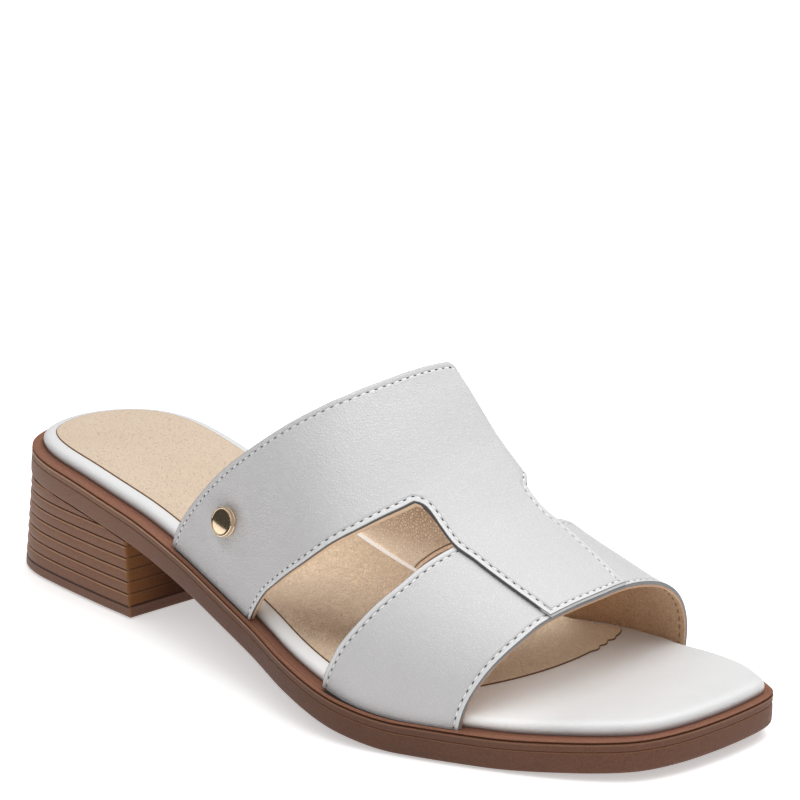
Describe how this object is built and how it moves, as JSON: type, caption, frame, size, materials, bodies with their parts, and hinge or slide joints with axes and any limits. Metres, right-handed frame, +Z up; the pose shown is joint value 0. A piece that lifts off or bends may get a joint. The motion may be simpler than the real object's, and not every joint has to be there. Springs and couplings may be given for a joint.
{
  "type": "slide sandal",
  "caption": "Right-foot slide sandal with an H-shaped leather strap upper, open square toe, wrapped footbed and a low stacked block heel.",
  "frame": {"origin": "on the floor, under the middle of the shoe's bounding box", "axes": "+X towards the toe, +Y towards the medial side, +Z up"},
  "size_m": [0.2551, 0.0946, 0.0884],
  "materials": {
    "outsole": "satin brown moulded band",
    "heel_block": "satin brown with stacked-leather lines",
    "heel_top_piece": "matt brown",
    "footbed": "smooth white, soft sheen",
    "sock": "fine grained natural tan",
    "upper": "smooth pale grey-white, fine grain",
    "stud": "polished pale gold"
  },
  "bodies": {
    "root": {"outsole": "outsole", "heel_block": "heel_block", "heel_top_piece": "heel_top_piece", "footbed": "footbed", "sock": "sock", "upper": "upper", "stud": "stud"}
  },
  "joints": []
}
